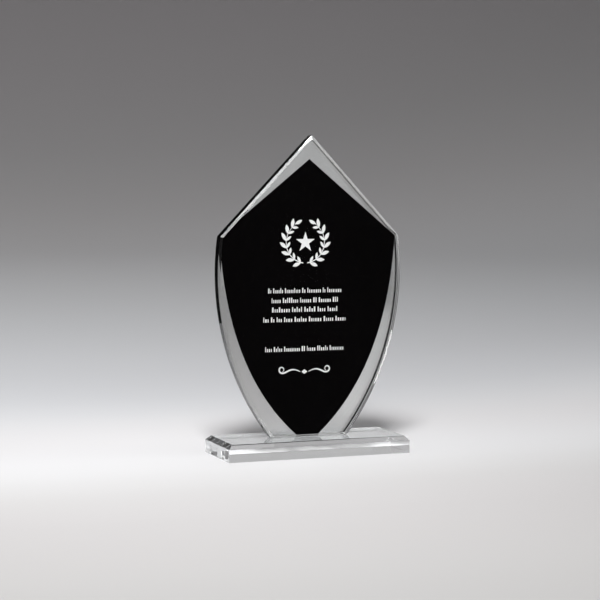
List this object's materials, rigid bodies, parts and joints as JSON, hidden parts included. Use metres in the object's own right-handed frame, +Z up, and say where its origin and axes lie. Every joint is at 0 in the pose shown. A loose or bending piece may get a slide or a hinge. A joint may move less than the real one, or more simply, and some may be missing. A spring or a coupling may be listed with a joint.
{
  "type": "crystal award",
  "caption": "Upright shield-shaped glass award plate with a bevelled edge and a black and silver back print, bonded to a chamfered clear acrylic base.",
  "frame": {"origin": "centre of the base's underside, on the surface that the award stands on", "axes": "+Z up along the award's height, +X to the reader's right, -Y towards the reader, so the printed back faces +Y"},
  "size_m": [0.1626, 0.06, 0.2643],
  "materials": {
    "clear_glass": "polished clear plate glass",
    "clear_acrylic": "polished clear cast acrylic",
    "clear_adhesive": "clear cured adhesive",
    "black_ink": "gloss black print seen through the glass",
    "satin_silver": "satin silver print seen through the glass",
    "white_ink": "opaque white print"
  },
  "bodies": {
    "root": {"glass_plate": "clear_glass", "acrylic_base": "clear_acrylic", "bond_layer": "clear_adhesive", "black_field": "black_ink", "silver_top": "satin_silver", "silver_left": "satin_silver", "silver_right": "satin_silver", "emblem_star": "white_ink", "laurel_left": "white_ink", "laurel_right": "white_ink", "inscription_line_1": "white_ink", "inscription_line_2": "white_ink", "inscription_line_3": "white_ink", "inscription_line_4": "white_ink", "name_line": "white_ink", "divider_diamond": "white_ink", "divider_scroll_left": "white_ink", "divider_scroll_right": "white_ink"}
  },
  "joints": []
}
